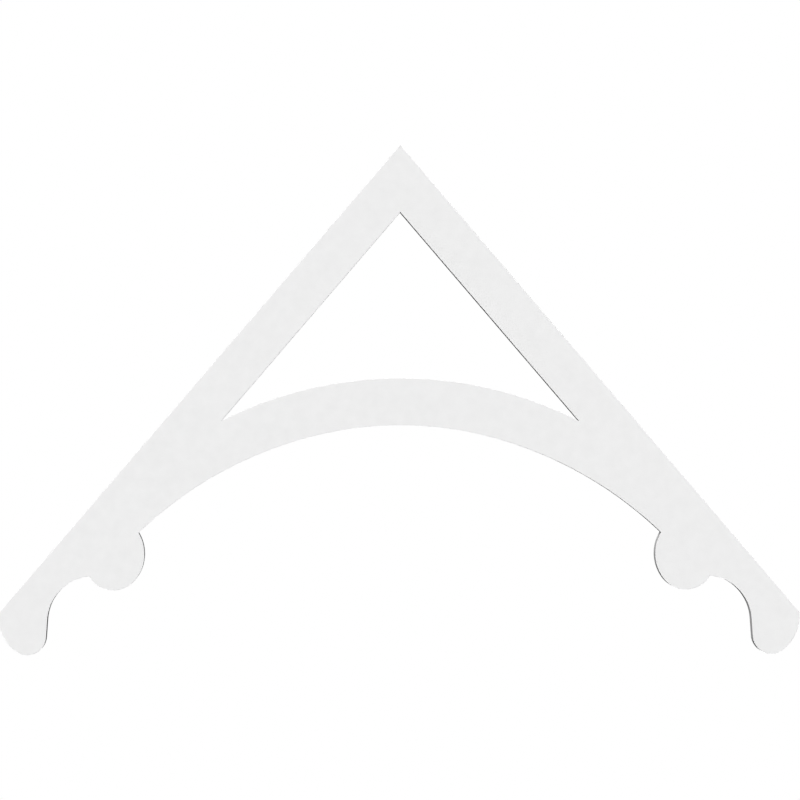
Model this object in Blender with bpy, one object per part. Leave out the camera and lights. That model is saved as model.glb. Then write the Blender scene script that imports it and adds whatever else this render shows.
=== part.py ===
"""Gable pediment: one flat white board that fills the top of a steep gable.

Two sloping rails meet at the peak. An arch ties them together below a triangular opening, and each
rail ends in a scalloped foot: a toe, a hollow cove and a round bulb that the arch springs from.

Metres, +Z up. +X runs across the gable, the front faces -Y and the back face lies in the plane y = 0.
The origin is the fixing point: on the back face, on the centre line, a little below the peak.
"""

from math import acos, ceil, copysign, cos, hypot, pi, radians, sin

import bmesh
import bpy
from mathutils import Vector

# Board
SPAN = 1.524  # between the lower ends of the two sloping edges
PITCH = 14 / 12  # rise over run of the sloping edges
THICKNESS = 0.0254
RAIL_WIDTH = 0.0826  # square across each sloping rail
FIXING_DEPTH = 0.075  # from the peak down to the fixing point

# Arch
CROWN_HEIGHT = 0.4456  # top of the arch above the lower ends of the sloping edges
ARCH_RISE = 0.0809  # of the upper edge, above the lower corners of the opening
ARCH_DEPTH = 0.0889  # of the band at the crown
CROWN_HALF_ANGLE = radians(12.5)  # the lower edge is parallel to the upper edge over this much

# Foot: the toe, drawn on from the lower end of the sloping edge
HEEL_LEAN = radians(6.5)  # the outer side starts this far off plumb, leaning out
HEEL_RADIUS = 0.079
HEEL_TURN = radians(61.5)
TOE_RADIUS = 0.0352
TOE_TURN = radians(121)
NECK_LENGTH = 0.035  # straight run between the toe and the cove

# Foot: the bulb. Both places are measured in and up from the lower end of the sloping edge
CUSP_IN, CUSP_UP = 0.1708, 0.0697  # where the cove meets the bulb
BULB_LEAN = radians(30)  # the bulb leaves the cusp this far off plumb, leaning in
BULB_RADIUS = 0.0533
BULB_TURN = radians(112.5)
SPRING_IN, SPRING_UP = 0.264, 0.1521  # where the bulb meets the underside of the arch

# Drawing
ARC_ERROR = 0.00005  # the most that a straight step may stray from its arc
WELD = 0.00001
SHARP = radians(25)  # edges that turn more than this stay crisp

# Material
WHITE_PVC = {"Base Color": (0.86, 0.86, 0.855, 1), "Roughness": 0.42, "Metallic": 0}


def direction(angle):
    return Vector((cos(angle), sin(angle)))


class Pen:
    """Draws an outline point by point. An arc starts smoothly from the pen's last heading."""

    def __init__(self, start, heading):
        self.points = [Vector(start)]
        self.heading = heading

    def run(self, length):
        self.points.append(self.points[-1] + length * direction(self.heading))

    def sweep(self, radius, turn):
        """An arc of this radius. A positive turn goes left and a negative one right."""
        inward = self.heading + copysign(pi / 2, turn)
        centre = self.points[-1] + radius * direction(inward)
        widest_step = 2 * acos(1 - ARC_ERROR / radius)
        steps = ceil(abs(turn) / widest_step)
        for step in range(1, steps + 1):
            self.points.append(centre - radius * direction(inward + turn * step / steps))
        self.heading += turn

    def arc_to(self, end):
        """The one arc that leaves smoothly and ends at this point."""
        chord = Vector(end) - self.points[-1]
        off_heading = chord.angle_signed(direction(self.heading))
        self.sweep(chord.length / (2 * abs(sin(off_heading))), 2 * off_heading)


def peak():
    return Vector((0, FIXING_DEPTH))


def rail_foot():
    """Lower end of the sloping edge on the +X side."""
    return peak() + SPAN / 2 * Vector((1, -PITCH))


def inside_foot(distance_in, distance_up):
    return rail_foot() + Vector((-distance_in, distance_up))


def crown():
    """Top of the arch, on the centre line."""
    return Vector((0, rail_foot().y + CROWN_HEIGHT))


def foot_outline():
    """One foot, from the lower end of the sloping edge round to the springing of the arch."""
    pen = Pen(rail_foot(), HEEL_LEAN - pi / 2)
    pen.sweep(HEEL_RADIUS, -HEEL_TURN)
    pen.sweep(TOE_RADIUS, -TOE_TURN)
    pen.run(NECK_LENGTH)
    pen.arc_to(inside_foot(CUSP_IN, CUSP_UP))
    pen.heading = -pi / 2 - BULB_LEAN
    pen.sweep(BULB_RADIUS, -BULB_TURN)
    pen.arc_to(inside_foot(SPRING_IN, SPRING_UP))
    return pen.points


def opening_top():
    """Where the inner edges of the two rails meet."""
    return peak() - Vector((0, RAIL_WIDTH * hypot(1, PITCH)))


def opening_corner():
    """Lower corner of the opening on the +X side, where the arch runs into the rail."""
    height = crown().y - ARCH_RISE
    return Vector(((opening_top().y - height) / PITCH, height))


def arch_radius():
    """Of the upper edge, which passes through the crown and both lower corners of the opening."""
    half_chord = opening_corner().x
    return (half_chord**2 + ARCH_RISE**2) / (2 * ARCH_RISE)


def opening_half():
    """Half of the triangular opening, from its top down the rail and along the arch to the crown."""
    pen = Pen(crown(), 0)
    pen.arc_to(opening_corner())
    return [opening_top()] + pen.points[::-1]


def arch_underside():
    """From the centre line to the springing: an arc parallel to the upper edge, then a flatter one."""
    pen = Pen(crown() - Vector((0, ARCH_DEPTH)), 0)
    pen.sweep(arch_radius() - ARCH_DEPTH, -CROWN_HALF_ANGLE)
    pen.arc_to(inside_foot(SPRING_IN, SPRING_UP))
    return pen.points


def both_sides(half):
    """A closed outline from its +X half, whose first and last points are on the centre line."""
    return half + [Vector((-point.x, point.y)) for point in half[-2:0:-1]]


def add_outline(curve, outline):
    spline = curve.splines.new("POLY")
    spline.points.add(len(outline) - 1)
    for point, place in zip(spline.points, outline):
        point.co = (place.x, place.y, 0, 1)
    spline.use_cyclic_u = True


def white_pvc():
    material = bpy.data.materials.new("white_pvc")
    material.use_nodes = True
    shader = material.node_tree.nodes["Principled BSDF"]
    for name, value in WHITE_PVC.items():
        shader.inputs[name].default_value = value
    return material


def flat_board():
    """The outline and its opening as one flat curve, extruded to both sides."""
    curve = bpy.data.curves.new("pediment_outline", "CURVE")
    curve.dimensions = "2D"
    curve.fill_mode = "BOTH"
    curve.extrude = THICKNESS / 2
    add_outline(curve, both_sides([peak()] + foot_outline() + arch_underside()[-2::-1]))
    add_outline(curve, both_sides(opening_half()))
    return bpy.data.objects.new("pediment_outline", curve)


def welded_mesh(curve_object):
    """The curve as a closed mesh, its round stretches shaded smooth."""
    graph = bpy.context.evaluated_depsgraph_get()
    mesh = bpy.data.meshes.new_from_object(curve_object.evaluated_get(graph))
    shape = bmesh.new()
    shape.from_mesh(mesh)
    bmesh.ops.remove_doubles(shape, verts=shape.verts, dist=WELD)
    shape.to_mesh(mesh)
    shape.free()
    mesh.shade_smooth()
    mesh.set_sharp_from_angle(angle=SHARP)
    return mesh


def add_pediment_board(collection):
    """The board stands upright, with its back face in the plane y = 0."""
    outline = flat_board()
    collection.objects.link(outline)
    mesh = welded_mesh(outline)
    bpy.data.objects.remove(outline)
    mesh.materials.append(white_pvc())
    board = bpy.data.objects.new("pediment_board", mesh)
    board.location = (0, -THICKNESS / 2, 0)
    board.rotation_euler = (pi / 2, 0, 0)
    collection.objects.link(board)


def main():
    for old in list(bpy.data.objects):
        bpy.data.objects.remove(old)
    pediment = bpy.data.collections.new("gable_pediment")
    bpy.context.scene.collection.children.link(pediment)
    add_pediment_board(pediment)


main()
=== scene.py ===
# %% [markdown]
# # The gable pediment and its finish
# A pediment like this is routed out of one sheet of white cellular PVC and screwed flat into the top of a
# gable. It has no mouldings and no joints, so nearly all of its character is in the outline, which the
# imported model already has. What is left to make is what hands and eyes meet first: eased corners, a
# satin skin that is never quite even, and cut edges that show where the router went.

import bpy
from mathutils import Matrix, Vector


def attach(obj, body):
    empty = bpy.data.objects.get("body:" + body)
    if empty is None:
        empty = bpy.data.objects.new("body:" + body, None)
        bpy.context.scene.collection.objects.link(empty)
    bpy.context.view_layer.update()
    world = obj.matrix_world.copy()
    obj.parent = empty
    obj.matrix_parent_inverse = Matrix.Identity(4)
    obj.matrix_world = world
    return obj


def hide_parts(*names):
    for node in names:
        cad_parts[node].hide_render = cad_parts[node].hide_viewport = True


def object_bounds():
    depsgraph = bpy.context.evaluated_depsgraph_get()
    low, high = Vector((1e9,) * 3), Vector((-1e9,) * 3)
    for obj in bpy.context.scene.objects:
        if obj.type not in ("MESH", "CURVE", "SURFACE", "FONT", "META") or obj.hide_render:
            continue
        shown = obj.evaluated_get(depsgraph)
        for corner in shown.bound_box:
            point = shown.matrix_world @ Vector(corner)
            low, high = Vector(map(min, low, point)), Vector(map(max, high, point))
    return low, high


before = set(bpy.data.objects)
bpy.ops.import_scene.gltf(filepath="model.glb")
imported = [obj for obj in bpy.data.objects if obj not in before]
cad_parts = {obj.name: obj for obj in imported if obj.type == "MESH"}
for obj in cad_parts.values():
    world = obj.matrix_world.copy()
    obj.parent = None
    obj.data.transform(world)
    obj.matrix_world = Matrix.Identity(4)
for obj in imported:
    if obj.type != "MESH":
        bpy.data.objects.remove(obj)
cad_low, cad_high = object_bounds()
board_centre = (cad_low + cad_high) / 2


def in_mm(size):
    return [round(1000 * side, 1) for side in size]


print("board, in mm:", in_mm(cad_high - cad_low))

# %% [markdown]
# ## The shape of the board
# The real board leaves the router with corners too sharp to hold paint, and one pass of fine sandpaper
# takes them off. That could be faked with a bump in the material, but then the corner would stay hard in
# the outline and would catch no light of its own. Bevelling the mesh is as easy and is true from every
# side.
#
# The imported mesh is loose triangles, so it is left as it is and a copy is merged. The triangles that lie
# in one plane are dissolved too. Otherwise each of them would bend the bevel a little.

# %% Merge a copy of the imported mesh
from math import radians

import bmesh
import bpy

WELD = 0.00001
ONE_PLANE = radians(0.2)  # neighbouring steps of the flattest arc turn by five times as much


def merged_copy(node_name):
    shape = bmesh.new()
    shape.from_mesh(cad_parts[node_name].data)
    bmesh.ops.remove_doubles(shape, verts=shape.verts, dist=WELD)
    bmesh.ops.dissolve_limit(shape, angle_limit=ONE_PLANE, verts=shape.verts, edges=shape.edges)
    return shape


shape = merged_copy("pediment_board")
print("merged:", len(shape.verts), "corners,", len(shape.faces), "faces")

# %% [markdown]
# The edges to ease are those of the two big faces, where a face that looks forwards or backwards meets one
# that looks sideways. The corners of the outline itself, such as the peak and the points of the opening,
# are left crisp, because sandpaper hardly reaches into them.

# %% Ease the corners
EASED = 0.0003  # radius of the rounded corner
STEPS_ROUND = 3


def looks_along_y(face):
    return abs(face.normal.y) > 0.5


def is_rim(edge):
    return len({looks_along_y(face) for face in edge.link_faces}) == 2


shape.normal_update()
rim = [edge for edge in shape.edges if is_rim(edge)]
bmesh.ops.bevel(
    shape,
    geom=rim,
    offset=EASED,
    offset_type="OFFSET",
    affect="EDGES",
    segments=STEPS_ROUND,
    profile=0.5,
    material=-1,
    clamp_overlap=True,
)
print("eased", len(rim), "edges; now", len(shape.faces), "faces")

# %% [markdown]
# Shading smoothly over such a narrow bevel would tilt the light on the whole flat face beside it. The
# Weighted Normal modifier lets the biggest face at each corner decide, so the faces stay flat, the arcs
# turn smoothly and only the bevel bends.

# %% Make the piece
CRISP = radians(32)  # a corner that turns more than this is a real one


def finished_piece(name, shape):
    mesh = bpy.data.meshes.new(name)
    shape.to_mesh(mesh)
    shape.free()
    mesh.shade_smooth()
    mesh.set_sharp_from_angle(angle=CRISP)
    piece = bpy.data.objects.new(name, mesh)
    bpy.context.scene.collection.objects.link(piece)
    flat_faces = piece.modifiers.new("flat_faces", "WEIGHTED_NORMAL")
    flat_faces.keep_sharp = True
    return piece


board = finished_piece("pediment", shape)
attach(board, "root")
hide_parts("pediment_board")
print("piece:", board.name, "with", len(board.data.polygons), "faces")

# %% [markdown]
# ## The finish
# Cellular PVC is foamed plastic under a hard skin. The skin is satin and looks plain white, but it is
# clouded very faintly in patches as wide as a thumb, and it has a slight orange peel that only shows in
# raking light. The cut edges go through the skin into the foam, so they are duller, finely pored, and
# ribbed by the router's blades from front to back.
#
# A painted image could not follow the outline at this size without thousands of pixels. Noise in the
# board's own coordinates needs none, and it has the true size everywhere.

# %% Start the material
PVC = 0.86  # how much light the white plastic sends back
pvc = bpy.data.materials.new("white_pvc")
pvc.use_nodes = True
shader = pvc.node_tree.nodes["Principled BSDF"]


def feed(socket, value):
    """The value is a number, a vector or the output of another node."""
    if isinstance(value, bpy.types.NodeSocket):
        socket.id_data.links.new(value, socket)
    else:
        socket.default_value = value


def node(kind, tree=pvc.node_tree, **inputs):
    """A new node. In the names of its inputs, _ stands for a space."""
    made = tree.nodes.new("ShaderNode" + kind)
    for name, value in inputs.items():
        feed(made.inputs[name.replace("_", " ")], value)
    return made


place = node("TexCoord")


def noise(patch, detail=2.0, vector=place.outputs["Object"]):
    """Noise whose patches are this many metres wide."""
    texture = node("TexNoise", Vector=vector, Scale=1 / patch, Detail=detail)
    return texture.outputs["Fac"]


NOISE_LOW, NOISE_HIGH = 0.25, 0.75  # noise seldom leaves this range


def spread(value, low, high):
    """Noise stretched from its usual range to the given one."""
    ranged = node(
        "MapRange", Value=value, From_Min=NOISE_LOW, From_Max=NOISE_HIGH, To_Min=low, To_Max=high
    )
    return ranged.outputs["Result"]


def blend(share, first, second):
    """first where share is 0, and second where it is 1."""
    mixed = node("Mix", Factor=share, A=first, B=second)
    return mixed.outputs["Result"]


# %% [markdown]
# One material does for skin and cut edge. The board's own normal tells them apart: on the big
# faces it points along Y, and on the cut edges it points across Y.

# %% Tell the skin from the cut edges
CUT_BELOW, SKIN_ABOVE = 0.35, 0.65  # how much of the normal points along Y
along_y = node("SeparateXYZ", Vector=place.outputs["Normal"]).outputs["Y"]
facing = node("Math", Value=along_y)
facing.operation = "ABSOLUTE"
sorted_out = node(
    "MapRange", Value=facing.outputs[0], From_Min=CUT_BELOW, From_Max=SKIN_ABOVE, To_Min=1.0, To_Max=0.0
)
cut = sorted_out.outputs["Result"]

# %% [markdown]
# The colour hardly changes: by two parts in a hundred on the skin and a little more in the foam. The
# clouds in it are as wide as a thumb, which is what shows from a few metres away. Smaller ones would
# melt into plain white, and larger ones would look like dirt.

# %% Cloud the white
CLOUD = 0.019  # width of a patch
CLOUD_DEPTH = 0.016  # how far the white goes up and down
clouded = spread(noise(CLOUD, detail=4.0), PVC - CLOUD_DEPTH, PVC + CLOUD_DEPTH)
FOAM = 0.004
FOAM_DEPTH = 0.06  # how far it goes down in the foam
foam = spread(noise(FOAM), PVC - FOAM_DEPTH, PVC)
white = blend(cut, clouded, foam)
feed(shader.inputs["Base Color"], node("CombineColor", Red=white, Green=white, Blue=white).outputs["Color"])

# %% Let the sheen vary
HANDLED = 0.06  # width of a patch that hands have polished
SATIN = (0.38, 0.46)  # the lowest and the highest roughness
DULL = (0.55, 0.7)
satin = spread(noise(HANDLED), *SATIN)
dull = spread(noise(FOAM), *DULL)
feed(shader.inputs["Roughness"], blend(cut, satin, dull))

# %% [markdown]
# The relief is far too fine for the mesh, a few hundredths of a millimetre, so it is left to the Bump
# node. With its distance at 1 the heights can be given in metres, like everything else. The ribs are the
# same noise as the rest, only drawn out along Y, the way the router's blades run.

# %% Raise the orange peel, the ribs and the pores
PEEL = 0.0025
PEEL_HEIGHT = 0.00002
RIB = 0.0012
RIB_SLENDER = 0.02  # width of a rib for each unit of its length
PORE = 0.0004
PORE_SHARE = 0.4
MARK_HEIGHT = 0.00006  # of ribs and pores together
ribbed_place = node("Mapping", Vector=place.outputs["Object"], Scale=(1, RIB_SLENDER, 1))
ribs = noise(RIB, vector=ribbed_place.outputs["Vector"])
peel = spread(noise(PEEL), 0, PEEL_HEIGHT)
marks = spread(blend(PORE_SHARE, ribs, noise(PORE)), 0, MARK_HEIGHT)
relief = node("Bump", Strength=1.0, Distance=1.0, Height=blend(cut, peel, marks))
feed(shader.inputs["Normal"], relief.outputs["Normal"])
board.data.materials.append(pvc)
print("finish:", len(pvc.node_tree.nodes), "nodes")

# %% [markdown]
# ## The stage
# The board hangs in white space, as it would on a page. The floor is a plain white sheet well below it.
# It glows exactly as brightly as the white behind the board, so that no horizon shows. A brighter floor
# would look just as white, but it would spill over the outline wherever a pixel holds some of both, and
# nibble the feet away. Only the camera sees the sheet, so it adds no light to the underside of the arch.

# %% Lay the floor
PAPER = 1.0  # brightness of everything behind the board
WHITE = (1, 1, 1, 1)
FLOOR_DROP = 1.5  # below the feet
FLOOR_SIZE = 400
sheet_shape = bmesh.new()
bmesh.ops.create_grid(sheet_shape, x_segments=1, y_segments=1, size=FLOOR_SIZE / 2)
bmesh.ops.translate(sheet_shape, verts=sheet_shape.verts, vec=(0, 0, cad_low.z - FLOOR_DROP))
floor_mesh = bpy.data.meshes.new("floor")
sheet_shape.to_mesh(floor_mesh)
sheet_shape.free()
floor = bpy.data.objects.new("floor", floor_mesh)
floor.visible_diffuse = False
floor.visible_glossy = False
floor.visible_shadow = False
bpy.context.scene.collection.objects.link(floor)

sheet = bpy.data.materials.new("white_sheet")
sheet.use_nodes = True
glow = node("Emission", sheet.node_tree, Color=WHITE, Strength=PAPER)
feed(sheet.node_tree.nodes["Material Output"].inputs["Surface"], glow.outputs["Emission"])
floor_mesh.materials.append(sheet)
print("floor:", FLOOR_DROP, "m below the feet")

# %% [markdown]
# ## The light
# The board is lit like a page too, and the light has two jobs. The front has to be evenly white, almost
# as white as the paper. The cut edges have to show which way they look: those that look up or left are
# pale, and those that look down or right are dark.
#
# One lamp can't do both, so the jobs are parted. A lamp straight in front whitens the face and hardly
# touches the cut edges, and its twin behind does the same for the back. One high on the left lights the
# edges that look its way, and one overhead lights both slopes. The room itself is bright overhead and dark
# below. All are Sun lamps, because their light is the same all along the board.
#
# The front lamp and its twin behind graze every cut edge, and at so flat an angle even dull plastic works
# like a mirror: the edges would shine where they should be dark. A photographer would put polarising
# film on such lamps. Here they are hidden from reflections.
#
# Cut edges that meet in a corner also throw light at each other. Hardly any of that shows in the
# photograph, whose dark lines stay dark right into the corners. So the board doesn't take part in bounced
# light either.

# %% Fill the room with light
OVERHEAD = 0.3
DARK_BELOW = -0.2  # how far below the horizon the room's light ends, as the sine of the angle
world = bpy.data.worlds.new("white_room")
bpy.context.scene.world = world
world.use_nodes = True
room = world.node_tree
ray_direction = node("TexCoord", room).outputs["Generated"]
height = node("SeparateXYZ", room, Vector=ray_direction).outputs["Z"]
overhead = node("MapRange", room, Value=height, From_Min=DARK_BELOW, To_Min=0.0, To_Max=OVERHEAD)
seen = node("LightPath", room).outputs["Is Camera Ray"]
brightness = node("MapRange", room, Value=seen, To_Min=overhead.outputs["Result"], To_Max=PAPER)
feed(room.nodes["Background"].inputs["Color"], WHITE)
feed(room.nodes["Background"].inputs["Strength"], brightness.outputs["Result"])

# %% Hang the lamps
from mathutils import Vector

LAMP_WIDTH = radians(8)  # as the board sees it; the real sun is half a degree wide


def soft_sun(name, towards, power):
    """A lamp so far off that its light is parallel, hung in this direction."""
    data = bpy.data.lights.new(name, "SUN")
    data.energy = power
    data.angle = LAMP_WIDTH
    lamp = bpy.data.objects.new(name, data)
    lamp.rotation_euler = Vector(towards).to_track_quat("Z", "Y").to_euler()
    bpy.context.scene.collection.objects.link(lamp)
    return lamp


soft_sun("high_left_light", towards=(-0.573, -0.469, 0.672), power=1.75)
soft_sun("overhead_light", towards=(0, -0.3, 0.954), power=1.2)
front_light = soft_sun("front_light", towards=(0, -1, 0), power=1.79)
back_light = soft_sun("back_light", towards=(0, 1, 0), power=2.3)

# %% Keep the dark edges dark
for lamp in (front_light, back_light):
    lamp.visible_glossy = False
board.visible_diffuse = False

# %% [markdown]
# ## The camera
# The board was photographed square on with a long lens, and both feet just touch the sides of the
# picture. The cut edges that show inside the arch and the opening are widest on the right, so the lens
# stood left of the middle. They are one to two and a half pixels wide, so it stood five to seven metres
# off. The picture was then cut to centre the board.
#
# Shifting the lens as far as that would be exact, but it would push the board out of the other views. So
# the lens is shifted by nearly half as much, and the camera turns a little for the rest. That moves most
# of the outline by less than half a pixel, and the toes by about one.

# %% Set the camera
STANDS_AT = Vector((-0.205, -5.5, -0.385))
LENS = 129.5
SENSOR = 36
SHIFT = 0.06
AIM = Vector((-0.092, cad_low.y, board_centre.z))
lens = bpy.data.cameras.new("camera")
lens.lens = LENS
lens.sensor_width = SENSOR
lens.shift_x = SHIFT
camera = bpy.data.objects.new("camera", lens)
camera.location = STANDS_AT
camera.rotation_euler = (AIM - STANDS_AT).to_track_quat("-Z", "Y").to_euler()
bpy.context.scene.collection.objects.link(camera)
bpy.context.scene.camera = camera
bpy.context.scene.view_settings.view_transform = "Standard"
turn = camera.rotation_euler.z
print("camera stands", -STANDS_AT.y, "m from the wall and turns by", round(turn / radians(1), 2), "degrees")
